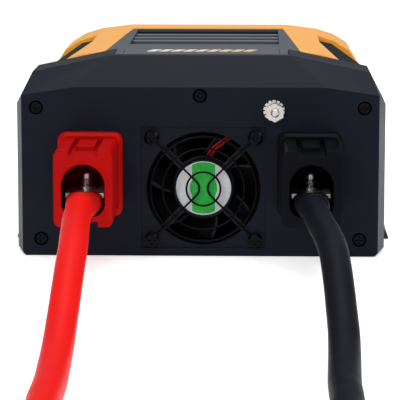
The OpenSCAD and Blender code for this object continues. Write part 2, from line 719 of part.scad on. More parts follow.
// The mouth is arched at the top and has rounder corners than the cable below.
mouth_low_r = 6;
module mouth(y0, y1) {
    r = mouth_w / 2;
    translate([0, y0, mouth_z + mouth_h - r]) rod(r, y1 - y0);
    block([-r, r], [y0, y1], [mouth_z + mouth_low_r, mouth_z + mouth_h - r]);
    for (x = [-1, 1]) translate([x * (r - mouth_low_r), y0, mouth_z + mouth_low_r])
        rod(mouth_low_r, y1 - y0);
    block([-r + mouth_low_r, r - mouth_low_r], [y0, y1], [mouth_z, mouth_z + mouth_h - r]);
}
module terminal_cover() {
    difference() {
        soft_block(cover_w, cover_h, cover_front, cover_y, 3);
        block([-cavity_w / 2, cavity_w / 2], [cover_front + cover_t, cover_y + 1],
              [term_z - cavity_h / 2, term_z + cavity_h / 2]);
        for (s = [-1, 1]) translate([0, 0, term_z + s * cover_h / 2])
            block([-channel_w / 2, channel_w / 2], [cover_front - 1, cover_y + 1],
                  [-channel_d, channel_d]);
        mouth(cover_front - 1, cover_front + cover_t + 1);
    }
    // Latch tongues standing in the channels beside the base.
    for (s = [0, 180]) translate([0, 0, term_z]) rotate([0, s, 0])
        block([-tongue_w / 2, tongue_w / 2], [cover_y - 3 - tongue_l, cover_y - 3],
              [cover_h / 2 - channel_d - 0.5, cover_h / 2 - 0.2]);
}
module red_terminal_cover() { color([0.83, 0.07, 0.05]) at_term(-1) terminal_cover(); }
module black_terminal_cover() { color([0.05, 0.05, 0.06]) at_term(1) terminal_cover(); }

bar_back = -board_l / 2 + 6;
module terminal_bars() {
    color([0.75, 0.72, 0.66]) for (s = [-1, 1]) at_term(s) difference() {
        union() {
            block([-bar_w / 2, bar_w / 2], [post_y - 8.5, bar_back], [bar_z - bar_t, bar_z]);
            block([-bar_w / 2, bar_w / 2], [bar_back - bar_t, bar_back], [board_z + board_t, bar_z]);
        }
        translate([0, post_y, 0]) cylinder(r = 3.02, h = 100);
    }
}
module terminal_screws() {
    color([0.8, 0.8, 0.8]) for (s = [-1, 1]) at_term(s) translate([0, post_y, 0]) difference() {
        union() {
            translate([0, 0, bar_z - bar_t - 1.5]) cylinder(r = 3, h = 10);
            translate([0, 0, lug_z + lug_t / 2 + washer_t]) cylinder(r = 3.3, h = 5.8);
        }
        for (a = [0, 90]) translate([0, 0, lug_z + lug_t / 2 + washer_t + 4.6]) rotate([0, 0, a])
            block([-2.2, 2.2], [-0.5, 0.5], [0, 4]);
    }
}
module terminal_washers() {
    color([0.82, 0.82, 0.8]) for (s = [-1, 1])
        translate([s * term_x, post_y, lug_z + lug_t / 2]) difference() {
            cylinder(r = 4.9, h = washer_t);
            translate([0, 0, -1]) cylinder(r = 3.02, h = washer_t + 2);
        }
}

// ---- Battery cables -------------------------------------------------------------------
// Each cable leaves its lug level, sinks to the ground, runs on and turns back outwards.
cable_r = cable_d / 2;
red_route = [[-52.7, -171, 34.85], [-52.5, -184, 35], [-51.5, -212, 34.8],
    [-50, -240, 34], [-48.8, -262, 32.2], [-48.4, -282, 28.5], [-48.2, -300, 23.4],
    [-48.1, -316, 18], [-48, -331, 13.4], [-47.8, -348, 9.4], [-47.5, -366, 7.2],
    [-47, -386, 6.3], [-47, -408, 6.3], [-47, -430, 6.3], [-50, -451, 6.3], [-60, -467, 6.3],
    [-74.5, -480, 6.3], [-92.5, -486, 6.3], [-111.5, -486, 6.3], [-129.5, -480, 6.3],
    [-144, -467, 6.3], [-154, -451, 6.3], [-157, -430, 6.3], [-157, -400, 6.3],
    [-157, -370, 6.3], [-157, -340, 6.6], [-157, -310, 7.5], [-157, -289, 7.5], [-157, -269, 7.5]];
black_route = [[53, -171, 34.85], [53.6, -184, 35], [55.4, -212, 34.8],
    [57.8, -240, 34], [59.4, -262, 32.2], [60.2, -282, 28.5], [60.8, -300, 23.4],
    [61.2, -316, 18], [61.5, -331, 13.4], [61.2, -348, 9.4], [60.6, -366, 7.2],
    [60, -386, 6.3], [60, -408, 6.3], [60, -430, 6.3], [63, -451, 6.3], [73, -467, 6.3],
    [87.5, -480, 6.3], [105.5, -486, 6.3], [124.5, -486, 6.3], [142.5, -480, 6.3],
    [157, -467, 6.3], [167, -451, 6.3], [170, -430, 6.3], [170, -400, 6.3],
    [170, -370, 6.3], [170, -340, 6.6], [170, -310, 7.5], [170, -289, 7.5], [170, -269, 7.5]];

module red_cable() { color([0.9, 0.1, 0.08]) tube(red_route, cable_r, 12); }
module black_cable() { color([0.08, 0.09, 0.12]) tube(black_route, cable_r, 12); }

lug_reach = lug_barrel_l + lug_l - lug_w / 2;
// A lug with its tongue's middle plane at z = 0 and its barrel's open end at y = 0, facing -Y.
module lug(hole_r, barrel_r, drop) difference() {
    union() {
        translate([0, 0, -drop]) rod(barrel_r, lug_barrel_l);
        block([-lug_w / 2, lug_w / 2], [lug_barrel_l - 1.5, lug_reach], [-lug_t / 2, lug_t / 2]);
        translate([0, lug_reach, -lug_t / 2]) cylinder(r = lug_w / 2, h = lug_t);
    }
    translate([0, lug_reach, -lug_t]) cylinder(r = hole_r, h = 2 * lug_t);
}
// Inside the flat end of its sleeve, so its barrel is crimped small and below the tongue.
boot_z = lug_z - 3.1;
module panel_lug() translate([0, post_y - lug_reach, lug_z]) lug(3.02, boot_h / 2 - 0.3, lug_z - boot_z);
module red_panel_lug() { color([0.8, 0.78, 0.72]) at_term(-1) panel_lug(); }
module black_panel_lug() { color([0.8, 0.78, 0.72]) at_term(1) panel_lug(); }
// The sleeve tapers from a flat oval over the lug's barrel to a round over the cable.
boot_y = post_y - lug_reach + lug_barrel_l;
module boot(s, end) hull() {
    for (x = [-1, 1]) translate([s * term_x + x * (boot_w - boot_h) / 2, boot_y - 1, boot_z])
        rod(boot_h / 2, 1, $fn = 32);
    translate(end + [0, 6, 0]) rod(boot_r - 0.4, 1, boot_r, $fn = 32);
}
module red_lug_boot() { color([0.85, 0.12, 0.07]) boot(-1, red_route[1]); }
module black_lug_boot() { color([0.05, 0.05, 0.06]) boot(1, black_route[1]); }

sleeve_bore = cable_r + 0.25;
module far_lug(p) translate(p[len(p) - 1]) lug(4.2, cable_r - 0.05, 0);
module far_sleeve(p) translate(p[len(p) - 1] + [0, 8 - far_sleeve_l, 0]) difference() {
    union() {
        rod(sleeve_bore + 0.5, 3, sleeve_bore + 0.9);
        translate([0, 3, 0]) rod(sleeve_bore + 0.9, far_sleeve_l - 3);
    }
    translate([0, -1, 0]) rod(sleeve_bore, far_sleeve_l + 2);
}
module red_far_lug() { color([0.8, 0.78, 0.72]) far_lug(red_route); }
module black_far_lug() { color([0.8, 0.78, 0.72]) far_lug(black_route); }
module red_far_sleeve() { color([0.85, 0.12, 0.07]) far_sleeve(red_route); }
module black_far_sleeve() { color([0.05, 0.05, 0.06]) far_sleeve(black_route); }

// ---- Electronics ----------------------------------------------------------------------
board_top = board_z + board_t;
module main_board() {
    color([0.1, 0.35, 0.18]) difference() {
        block([-board_w / 2, board_w / 2], [-board_l / 2, board_l / 2], [board_z, board_top]);
        for (x = [-1, 1], y = [-1, 1]) translate([x * standoff_x, y * standoff_y, board_z - 1])
            cylinder(r = 1.7, h = 4);
    }
}
module board_screws() {
    color([0.8, 0.8, 0.8]) for (x = [-1, 1], y = [-1, 1])
        translate([x * standoff_x, y * standoff_y, 0]) {
            translate([0, 0, tray_t + 1]) cylinder(r = 1.5, h = board_top - tray_t);
            translate([0, 0, board_top]) cylinder(r = 2.8, h = 1.8);
        }
}
core = [30, 30, 33];
core_y = -30;
core_gap = 3;
module each_transformer() for (i = [0:transformer_count - 1])
    translate([(i - (transformer_count - 1) / 2) * (core.x + core_gap), core_y, board_top]) children();
module transformer_cores() {
    color([0.2, 0.2, 0.22]) each_transformer() difference() {
        block([-core.x / 2, core.x / 2], [-core.y / 2, core.y / 2], [0, core.z]);
        for (s = [-1, 1]) translate([s * core.x / 4, 0, 0])
            block([-4.5, 4.5], [-core.y, core.y], [5, core.z - 5]);
    }
}
module transformer_windings() {
    color([0.75, 0.6, 0.2]) each_transformer() difference() {
        block([-core.x / 4 - 4.3, core.x / 4 + 4.3], [-core.y / 2 - 5, core.y / 2 + 5],
              [5.3, core.z - 5.3]);
        block([-core.x / 4 + 4.4, core.x / 4 - 4.4], [-core.y / 2 - 0.2, core.y / 2 + 0.2],
              [0, core.z]);
    }
}
heat_x = board_w / 2 - 4;
module cooling_bars() {
    color([0.72, 0.73, 0.75]) both_sides()
        block([heat_x - 4, heat_x], [-standoff_y + 8, standoff_y - 8], [board_top, board_top + 30]);
}
module transistors() {
    step = (2 * standoff_y - 32) / transistor_count;
    color([0.12, 0.12, 0.13]) both_sides() for (i = [0:transistor_count - 1])
        translate([heat_x, -standoff_y + 16 + (i + 0.5) * step, board_top])
            block([-8.6, -4], [-5, 5], [4, 20]);
}
cap_r = 9;
module capacitors() {
    color([0.15, 0.2, 0.4]) for (x = [-34, -12], y = [8, 30]) translate([x, y, board_top]) {
        cylinder(r = cap_r, h = 34);
        translate([0, 0, 34]) cylinder(r = cap_r - 1, h = 0.8);
    }
}
module filter_choke() {
    color([0.7, 0.4, 0.15]) translate([24, 20, board_top + 7.5])
        rotate_extrude() translate([12, 0]) circle(r = 7.5, $fn = 32);
}
module input_fuses() {
    color([0.85, 0.45, 0.1]) for (i = [-3:3]) translate([i * 9 + 0.5, -board_l / 2 + 14, board_top])
        block([-2.5, 2.5], [-6, 6], [0, 9]);
}

// ---- Socket end -----------------------------------------------------------------------
// Drawn facing -Y like the battery end, then turned round to the other end.
blade_gap_x = 6.35;
module outlet_sockets() {
    g = insert_gap;
    color([0.12, 0.12, 0.14]) other_end() for (x = socket_x) translate([x, y_front, socket_z])
        difference() {
            union() {
                block([-socket_w / 2 + g, socket_w / 2 - g], [0, 18],
                      [-socket_h / 2 + g, socket_h / 2 - g]);
                block([-socket_w / 2 - 1.5, socket_w / 2 + 1.5], [-1.2, 0],
                      [-socket_h / 2 - 1.5, socket_h / 2 + 1.5]);
            }
            block([-13, 13], [-2, 0.6], [-14, 14]);
            for (s = [-1, 1]) translate([s * blade_gap_x, 0, 4])
                block([-1.1, 1.1], [-1, 15], [-4.5, 4.5]);
            translate([0, 0, -8]) rod(2.6, 15);
        }
}
rocker_y = y_front + 3.5;
rocker_r = 8.5;
rocker_w = switch_w - 4.2;
pin_r = 1.5;
module switch_housing() {
    g = insert_gap;
    color([0.05, 0.05, 0.06]) other_end() translate([switch_x, y_front, switch_z]) difference() {
        union() {
            block([-switch_w / 2 + g, switch_w / 2 - g], [0, 20], [-switch_h / 2 + g, switch_h / 2 - g]);
            block([-switch_w / 2 - 1.5, switch_w / 2 + 1.5], [-1.2, 0],
                  [-switch_h / 2 - 1.5, switch_h / 2 + 1.5]);
        }
        block([-switch_w / 2 + 1.6, switch_w / 2 - 1.6], [-2, 14], [-switch_h / 2 + 1.6, switch_h / 2 - 1.6]);
        // Bearings of the rocker's pins.
        translate([-switch_w, rocker_y - y_front, 0]) rotate([0, 90, 0])
            cylinder(r = pin_r + 0.05, h = 2 * switch_w);
    }
}
module power_rocker() {
    color([0.75, 0.08, 0.06]) other_end() translate([switch_x, rocker_y, switch_z]) {
        rotate([rocker_tilt / 2, 0, 0]) rotate([90, 0, 90]) translate([0, 0, -rocker_w / 2])
            linear_extrude(rocker_w) intersection() {
                polygon([[-4.4, -rocker_r], [-1.8, 0], [-4.4, rocker_r],
                         [4, rocker_r - 4], [4, -rocker_r + 4]]);
                circle(r = switch_h / 2 - 2.2);
            }
        translate([-rocker_w / 2 - 1.2, 0, 0]) rotate([0, 90, 0])
            cylinder(r = pin_r, h = rocker_w + 2.4);
    }
}
module usb_port() {
    g = insert_gap;
    color([0.6, 0.6, 0.62]) other_end() translate([switch_x, y_front, usb_z]) {
        difference() {
            block([-usb_w / 2 + g, usb_w / 2 - g], [-0.6, 14], [-usb_h / 2 + g, usb_h / 2 - g]);
            block([-6.2, 6.2], [-2, 12], [-2.6, 2.6]);
        }
        block([-5.2, 5.2], [1, 12.5], [0.2, 1.9]);
    }
}
module indicator_lenses() {
    color([0.3, 0.9, 0.4]) other_end() for (z = lens_z) at_xz([lens_x, z], y_front - 0.8) {
        rod(lens_r - 0.5, 0.5, lens_r);
        translate([0, 0.5, 0]) rod(lens_r, 5);
    }
}

base_tray();
dc_end_cap();
ac_end_cap();
hood_cover();
hood_insert();
name_badge();
louvre_slats();
left_shoulder_vent();
right_shoulder_vent();
fan_frame();
fan_motor();
fan_rotor();
fan_label();
fan_guard();
fan_screws();
fan_leads();
dc_panel_screws();
ac_panel_screws();
ground_stud();
ground_nut();
ground_star_washer();
red_terminal_base();
black_terminal_base();
red_terminal_cover();
black_terminal_cover();
terminal_bars();
terminal_screws();
terminal_washers();
red_panel_lug();
black_panel_lug();
red_lug_boot();
black_lug_boot();
red_cable();
black_cable();
red_far_lug();
black_far_lug();
red_far_sleeve();
black_far_sleeve();
main_board();
board_screws();
transformer_cores();
transformer_windings();
cooling_bars();
transistors();
capacitors();
filter_choke();
input_fuses();
outlet_sockets();
switch_housing();
power_rocker();
usb_port();
indicator_lenses();
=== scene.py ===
# %% [markdown]
# # A power inverter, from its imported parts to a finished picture
#
# The inverter is a flat box that turns a car battery's 12 volts into mains power. Its parts were drawn
# and packed beforehand as exact solids. This notebook loads them as a fixed frame, gives each one the
# surface of the real thing, and replaces the few that need softer shapes: the two battery cables and
# the moulded fan blades. It adds the print on the badge and the terminals' spring washers.
#
# Everything is in metres. +Y runs from the battery end to the socket end and +Z is up.

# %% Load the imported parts
import math

import bpy
from mathutils import Matrix, Vector
from mathutils.geometry import interpolate_bezier


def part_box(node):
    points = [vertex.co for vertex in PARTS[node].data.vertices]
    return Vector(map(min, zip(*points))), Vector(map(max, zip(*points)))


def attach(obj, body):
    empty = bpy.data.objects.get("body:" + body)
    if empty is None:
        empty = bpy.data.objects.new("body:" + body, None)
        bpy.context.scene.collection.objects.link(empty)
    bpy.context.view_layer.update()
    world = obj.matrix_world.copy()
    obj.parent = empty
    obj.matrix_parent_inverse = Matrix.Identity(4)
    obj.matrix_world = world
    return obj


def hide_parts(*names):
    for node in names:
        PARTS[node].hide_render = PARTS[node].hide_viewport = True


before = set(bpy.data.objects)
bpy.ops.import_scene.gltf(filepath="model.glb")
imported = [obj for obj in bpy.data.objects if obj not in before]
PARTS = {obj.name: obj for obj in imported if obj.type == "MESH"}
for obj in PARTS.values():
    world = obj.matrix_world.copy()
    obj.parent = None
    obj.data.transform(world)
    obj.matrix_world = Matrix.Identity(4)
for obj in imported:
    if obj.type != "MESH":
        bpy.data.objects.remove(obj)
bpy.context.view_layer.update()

# %% [markdown]
# ## The camera
#
# A lens could be guessed, but a long product lens is easier to reason about: lines along the body run
# to one vanishing point, and its place gives the pitch and the turn of the camera. Here the camera
# stands about a metre in front of the battery end, a little to the right and 0.2 m up, and looks
# slightly down. Depth of field stays off, so every part is sharp.

# %% Camera
BATTERY_END_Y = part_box("dc_end_cap")[0][1]
CAMERA_AWAY = 1.063
CAMERA_RIGHT = 0.0287
CAMERA_UP = 0.206
PITCH_DOWN = 9.53
TURN_LEFT = 1.545
LENS_MM = 200.9

eye_data = bpy.data.cameras.new("product_camera")
eye_data.sensor_width = 36.0
eye_data.lens = LENS_MM
eye_data.clip_end = 20.0
eye = bpy.data.objects.new("product_camera", eye_data)
eye.location = (CAMERA_RIGHT, BATTERY_END_Y - CAMERA_AWAY, CAMERA_UP)
eye.rotation_euler = (math.radians(90 - PITCH_DOWN), 0, math.radians(TURN_LEFT))
bpy.context.scene.collection.objects.link(eye)
bpy.context.scene.camera = eye
print("camera", tuple(round(v, 3) for v in eye.location), "lens", LENS_MM, "mm")

# %% [markdown]
# ## The battery cables
#
# A welding-type cable is stiff enough to leave its lug level, then sinks to the ground in one long
# curve and lies flat. A mesh tube could be swept by hand, but a Bezier curve through a few chosen
# points with automatic handles gives the same smooth line, and its bevel gives the round insulation.
# The points are the ones that the solid cables follow. The curve is then made into a mesh; the line
# that it followed is also worked out, but nothing uses it.

# %% Cable routes
MM = 0.001
RED_ROUTE = [(-52.7, -171, 34.85), (-52.5, -184, 35), (-51.5, -212, 34.8),
             (-50, -240, 34), (-48.8, -262, 32.2), (-48.4, -282, 28.5), (-48.2, -300, 23.4),
             (-48.1, -316, 18), (-48, -331, 13.4), (-47.8, -348, 9.4), (-47.5, -366, 7.2),
             (-47, -386, 6.3), (-47, -408, 6.3), (-47, -430, 6.3), (-50, -451, 6.3),
             (-60, -467, 6.3), (-74.5, -480, 6.3), (-92.5, -486, 6.3), (-111.5, -486, 6.3),
             (-129.5, -480, 6.3), (-144, -467, 6.3), (-154, -451, 6.3), (-157, -430, 6.3),
             (-157, -400, 6.3), (-157, -370, 6.3), (-157, -340, 6.6), (-157, -310, 7.5),
             (-157, -289, 7.5), (-157, -269, 7.5)]
BLACK_ROUTE = [(53, -171, 34.85), (53.6, -184, 35), (55.4, -212, 34.8),
               (57.8, -240, 34), (59.4, -262, 32.2), (60.2, -282, 28.5), (60.8, -300, 23.4),
               (61.2, -316, 18), (61.5, -331, 13.4), (61.2, -348, 9.4), (60.6, -366, 7.2),
               (60, -386, 6.3), (60, -408, 6.3), (60, -430, 6.3), (63, -451, 6.3),
               (73, -467, 6.3), (87.5, -480, 6.3), (105.5, -486, 6.3), (124.5, -486, 6.3),
               (142.5, -480, 6.3), (157, -467, 6.3), (167, -451, 6.3), (170, -430, 6.3),
               (170, -400, 6.3), (170, -370, 6.3), (170, -340, 6.6), (170, -310, 7.5),
               (170, -289, 7.5), (170, -269, 7.5)]
CABLE_D = 0.0125
CABLE_STEPS = 8
CABLE_SIDES = 8


def cable(name, route, node):
    """A round cable along its route, made into a mesh and hung on the housing in place of its solid."""
    curve = bpy.data.curves.new(name, "CURVE")
    curve.dimensions = "3D"
    curve.bevel_depth = CABLE_D / 2
    curve.bevel_resolution = CABLE_SIDES
    curve.resolution_u = CABLE_STEPS
    curve.use_fill_caps = True
    spline = curve.splines.new("BEZIER")
    spline.bezier_points.add(len(route) - 1)
    for point, place in zip(spline.bezier_points, route):
        point.co = Vector(place) * MM
        point.handle_left_type = point.handle_right_type = "AUTO"
    guide = bpy.data.objects.new(name + "_guide", curve)
    bpy.context.scene.collection.objects.link(guide)
    drawn = guide.evaluated_get(bpy.context.evaluated_depsgraph_get())
    knots = drawn.data.splines[0].bezier_points
    path = [tuple(knots[0].co)]
    for near, far in zip(knots, knots[1:]):
        stretch = interpolate_bezier(near.co, near.handle_right, far.handle_left, far.co,
                                     CABLE_STEPS + 1)
        path += [tuple(point) for point in stretch[1:]]
    piece = bpy.data.objects.new(name, bpy.data.meshes.new_from_object(drawn))
    bpy.context.scene.collection.objects.link(piece)
    bpy.data.objects.remove(guide)
    for face in piece.data.polygons:
        face.use_smooth = len(face.vertices) == 4
    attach(piece, "housing")
    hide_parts(node)
    return piece


red_cable = cable("red_battery_cable", RED_ROUTE, "red_cable")
black_cable = cable("black_battery_cable", BLACK_ROUTE, "black_cable")

# %% [markdown]
# ## Writing shaders as sums
#
# A material is a graph of nodes, and long graphs are hard to read as a list of links. The class below
# wraps one output socket, so that `1 - mask * 0.5` adds the Math nodes for it. Any other node comes
# from one method, `node`, which takes the node's type, its settings and its inputs.


# %% A socket that can be added and multiplied
class Value:
    """One output socket in a material, with arithmetic that adds Math nodes."""

    def __init__(self, mix, socket):
        self.mix, self.socket = mix, socket

    def _math(self, how, *terms):
        return self.mix.node("ShaderNodeMath", {"operation": how}, dict(enumerate(terms)))

    def __add__(self, other):
        return self._math("ADD", self, other)

    def __radd__(self, other):
        return self._math("ADD", other, self)

    def __sub__(self, other):
        return self._math("SUBTRACT", self, other)

    def __rsub__(self, other):
        return self._math("SUBTRACT", other, self)

    def __mul__(self, other):
        return self._math("MULTIPLY", self, other)

    def __rmul__(self, other):
        return self._math("MULTIPLY", other, self)

    def __truediv__(self, other):
        return self._math("DIVIDE", self, other)

    def __lt__(self, other):
        return self._math("LESS_THAN", self, other)

    def __gt__(self, other):
        return self._math("GREATER_THAN", self, other)

    def abs(self):
        return self._math("ABSOLUTE", self)

    def root(self):
        return self._math("SQRT", self)

    def or_else(self, other):
        """The larger of two masks, which is 1 where either is 1."""
        return self._math("MAXIMUM", self, other)


class Finish:
    """A material with one Principled shader, and the nodes that feed it."""

    def __init__(self, name, colour, rough, metal=0.0, **fixed):
        self.material = bpy.data.materials.new(name)
        self.material.use_nodes = True
        self.tree = self.material.node_tree
        self.tree.nodes.clear()
        self.out = self.tree.nodes.new("ShaderNodeOutputMaterial")
        self.shader = self.tree.nodes.new("ShaderNodeBsdfPrincipled")
        self.tree.links.new(self.shader.outputs[0], self.out.inputs[0])
        self.set("Base Color", (*colour, 1))
        self.set("Roughness", rough)
        self.set("Metallic", metal)
        for socket, value in fixed.items():
            self.set(socket.replace("_", " ").title().replace("Ior", "IOR"), value)
        self.place = self.node("ShaderNodeTexCoord", out="Object")

    def set(self, socket, value):
        target = self.shader.inputs[socket]
        if isinstance(value, Value):
            self.tree.links.new(value.socket, target)
        else:
            target.default_value = value

    def node(self, kind, settings=None, inputs=None, out=0):
        made = self.tree.nodes.new(kind)
        for key, value in (settings or {}).items():
            if key == "stops":
                while len(made.color_ramp.elements) < len(value):
                    made.color_ramp.elements.new(0.5)
                for stop, (at, colour) in zip(made.color_ramp.elements, value):
                    stop.position, stop.color = at, (*colour, 1)
            else:
                setattr(made, key, value)
        for key, value in (inputs or {}).items():
            if isinstance(value, Value):
                self.tree.links.new(value.socket, made.inputs[key])
            else:
                made.inputs[key].default_value = value
        return Value(self, made.outputs[out])

    def noise(self, size, detail=2.0, rough=0.5, place=None):
        """Even noise about 0.5 whose features are `size` metres across."""
        return self.node("ShaderNodeTexNoise", {}, {"Vector": place or self.place, "Scale": 1 / size,
                                                    "Detail": detail, "Roughness": rough})

    def blend(self, share, first, second):
        return self.node("ShaderNodeMix", {"data_type": "RGBA"}, {0: share, 6: first, 7: second}, 2)

    def axes(self):
        split = self.tree.nodes.new("ShaderNodeSeparateXYZ")
        self.tree.links.new(self.place.socket, split.inputs[0])
        return [Value(self, split.outputs[i]) for i in range(3)]

    def relief(self, height, depth, edge=0.0):
        """Bumps `height` metres deep, over edges rounded to `edge` metres."""
        inputs = {"Height": height, "Distance": depth, "Strength": 1.0}
        if edge:
            inputs["Normal"] = self.node("ShaderNodeBevel", {"samples": 6}, {"Radius": edge})
        self.set("Normal", self.node("ShaderNodeBump", {}, inputs))
        return self


def coat(finish, *nodes):
    """Puts a finish on parts of the frame, or on pieces."""
    for node in nodes:
        piece = PARTS[node] if isinstance(node, str) else node
        if not piece.data.materials:
            piece.data.materials.append(finish.material)
        for i in range(len(piece.data.materials)):
            piece.data.materials[i] = finish.material
    print(finish.material.name, "->", len(nodes), "parts")


# %% [markdown]
# ## Moulded black end caps
#
# The caps are spark-textured ABS in a blue-black: a fine even grain that breaks the highlight up, and
# slightly rounded edges. The grain is a bump of about a twentieth of a millimetre, and a slow
# cloudiness in the roughness keeps large flat faces from looking computed. The surface is dull enough
# that it mirrors only about one part in a hundred, so the specular level is set low. Below its rim the
# grey insert is painted near-black: painted shade for the dark inside of its bay.


# %% Textured plastic
CLOUD_SIZE = 0.03
GRAIN_ROUGHNESS, CLOUD_ROUGHNESS = 0.16, 0.14
CLOUD_LIFT = 1.3


def textured_plastic(name, colour, rough, grain=0.0006, depth=0.00004, edge=0.0008, shine=0.14):
    finish = Finish(name, colour, rough, specular_ior_level=shine)
    fine, slow = finish.noise(grain, 3.0, 0.6), finish.noise(CLOUD_SIZE, 2.0)
    finish.set("Roughness",
               (fine - 0.5) * GRAIN_ROUGHNESS + (slow - 0.5) * CLOUD_ROUGHNESS + rough)
    bright = tuple(min(1.0, c * CLOUD_LIFT) for c in colour)
    finish.set("Base Color", finish.blend((slow - 0.5) * 1.2 + (fine - 0.5) * 0.6 + 0.3,
                                          (*colour, 1), (*bright, 1)))
    return finish.relief(fine, depth, edge)


cap_plastic = textured_plastic("cap_plastic", (0.0055, 0.0068, 0.0125), 0.42, shine=0.07)
coat(cap_plastic, "dc_end_cap", "ac_end_cap")
vent_plastic = textured_plastic("vent_plastic", (0.006, 0.0065, 0.009), 0.4, edge=0.0004,
                                shine=0.3)
coat(vent_plastic, "left_shoulder_vent", "right_shoulder_vent")
INSERT_GREY = (0.048, 0.057, 0.073)
BAY_PAINTED_SHADE = (0.003, 0.0035, 0.005)
BAY_TOP = 0.0935
insert_plastic = textured_plastic("insert_plastic", INSERT_GREY, 0.4, shine=0.3)
height = insert_plastic.axes()[2]
# Below the bay's rim the insert takes a near-black colour, painted shade for the inside of the bay.
insert_plastic.set("Base Color", insert_plastic.blend(height > BAY_TOP, (*BAY_PAINTED_SHADE, 1),
                                                      (*INSERT_GREY, 1)))
coat(insert_plastic, "hood_insert")
slat_plastic = textured_plastic("slat_plastic", (0.065, 0.075, 0.092), 0.35, edge=0.0006,
                                shine=0.5)
coat(slat_plastic, "louvre_slats")
fan_plastic = textured_plastic("fan_plastic", (0.004, 0.004, 0.0055), 0.42, edge=0.0003,
                               shine=0.2)
coat(fan_plastic, "fan_frame", "fan_motor", "fan_rotor")
tray_coat = textured_plastic("tray_coat", (0.012, 0.012, 0.014), 0.4, grain=0.0004, edge=0.0005,
                             shine=0.3)
coat(tray_coat, "base_tray")

# %% [markdown]
# ## Smooth mouldings
#
# The hood is moulded in yellow-orange and left glossy, with a thin clear coat for its sharp
# reflections. The terminal covers are smooth too, but their red and black are so deep that any strong
# reflection would wash them out, so they get no coat and a low specular level. All of them have a
# faint orange peel, and the colour is a touch deeper in places, as pigment is.


# %% Glossy mouldings
PEEL_SIZE, PEEL_DEPTH = 0.004, 0.00002
PIGMENT_SIZE, PIGMENT_ROUGHNESS = 0.05, 0.12
MOULD_EDGE = 0.001


def smooth_plastic(name, colour, deep, rough=0.3, coat_weight=0.0, shine=0.5):
    finish = Finish(name, colour, rough, coat_weight=coat_weight, coat_roughness=0.12,
                    specular_ior_level=shine)
    peel, slow = finish.noise(PEEL_SIZE, 2.0), finish.noise(PIGMENT_SIZE, 2.0)
    finish.set("Base Color", finish.blend(slow, (*deep, 1), (*colour, 1)))
    finish.set("Roughness", (slow - 0.5) * PIGMENT_ROUGHNESS + rough)
    return finish.relief(peel, PEEL_DEPTH, MOULD_EDGE)


hood_finish = smooth_plastic("hood_finish", (1.0, 0.44, 0.03), (0.95, 0.38, 0.02),
                             coat_weight=0.1)
coat(hood_finish, "hood_cover")
red_plastic = smooth_plastic("red_plastic", (0.42, 0.0022, 0.002), (0.34, 0.0016, 0.0015), 0.36,
                             shine=0.06)
coat(red_plastic, "red_terminal_base", "red_terminal_cover", "power_rocker")
black_gloss = smooth_plastic("black_gloss", (0.0035, 0.0038, 0.006), (0.0025, 0.0027, 0.0042),
                             0.34, shine=0.05)
coat(black_gloss, "black_terminal_base", "black_terminal_cover", "switch_housing",
     "outlet_sockets")

# %% [markdown]
# ## Cable insulation and sleeves
#
# Cable insulation is extruded vinyl: satin, with a faint fine grain and a very soft waviness. The
# sleeves over the lugs are a softer, duller vinyl.


# %% Vinyl
def vinyl(name, colour, deep, rough, shine=0.2):
    finish = Finish(name, colour, rough, specular_ior_level=shine)
    fine, slow = finish.noise(0.0012, 3.0), finish.noise(0.012, 2.0)
    finish.set("Base Color", finish.blend(slow, (*deep, 1), (*colour, 1)))
    finish.set("Roughness", (slow - 0.5) * 0.2 + (fine - 0.5) * 0.1 + rough)
    return finish.relief(fine * 0.4 + slow * 0.2, 0.00006, 0.0005)


red_vinyl = vinyl("red_vinyl", (0.75, 0.006, 0.004), (0.66, 0.0045, 0.003), 0.45, 0.06)
black_vinyl = vinyl("black_vinyl", (0.0038, 0.0046, 0.009), (0.0028, 0.0033, 0.0065), 0.5, 0.05)
coat(red_vinyl, red_cable, "red_far_sleeve")
coat(black_vinyl, black_cable, "black_far_sleeve", "black_lug_boot")
sleeve_red = vinyl("sleeve_red", (0.45, 0.006, 0.003), (0.38, 0.0045, 0.0025), 0.46, 0.1)
coat(sleeve_red, "red_lug_boot")

# %% [markdown]
# ## Metals
#
# The earth stud is nickel, the lugs are tinned copper with a milky skin, and the panel screws are
# black oxide steel. One function makes them all: what differs is the colour, the polish and how
# deep the marks of handling go.


# %% Metals
SCRATCH_SIZE, TARNISH_SIZE = 0.002, 0.01
TARNISH = 0.8


def metal(name, colour, rough, marks=0.1, depth=0.00001, edge=0.0003, stretch=(1, 1, 1)):
    finish = Finish(name, colour, rough, metal=1.0)
    where = finish.node("ShaderNodeMapping", {}, {"Vector": finish.place, "Scale": stretch})
    drag, slow = finish.noise(SCRATCH_SIZE, 4.0, 0.6, where), finish.noise(TARNISH_SIZE, 3.0)
    finish.set("Roughness", (drag - 0.5) * marks + (slow - 0.5) * marks + rough)
    dull = tuple(c * TARNISH for c in colour)
    finish.set("Base Color", finish.blend(slow, (*dull, 1), (*colour, 1)))
    return finish.relief(drag, depth, edge)


nickel = metal("nickel", (0.62, 0.60, 0.56), 0.28)
coat(nickel, "ground_stud", "ground_nut", "ground_star_washer", "terminal_screws", "terminal_washers")
tinned = metal("tinned_copper", (0.85, 0.81, 0.74), 0.42, 0.2)
coat(tinned, "terminal_bars", "red_panel_lug", "black_panel_lug", "red_far_lug", "black_far_lug")
zinc = metal("zinc_plate", (0.72, 0.73, 0.74), 0.3)
coat(zinc, "board_screws", "usb_port")
bare = metal("bare_aluminium", (0.8, 0.81, 0.83), 0.35, 0.2, stretch=(1, 0.05, 1))
coat(bare, "cooling_bars")
black_oxide = metal("black_oxide", (0.008, 0.008, 0.010), 0.25, depth=0.00002)
coat(black_oxide, "fan_screws", "dc_panel_screws", "ac_panel_screws")
guard_wire = metal("guard_wire", (0.008, 0.008, 0.010), 0.36)
coat(guard_wire, "fan_guard")

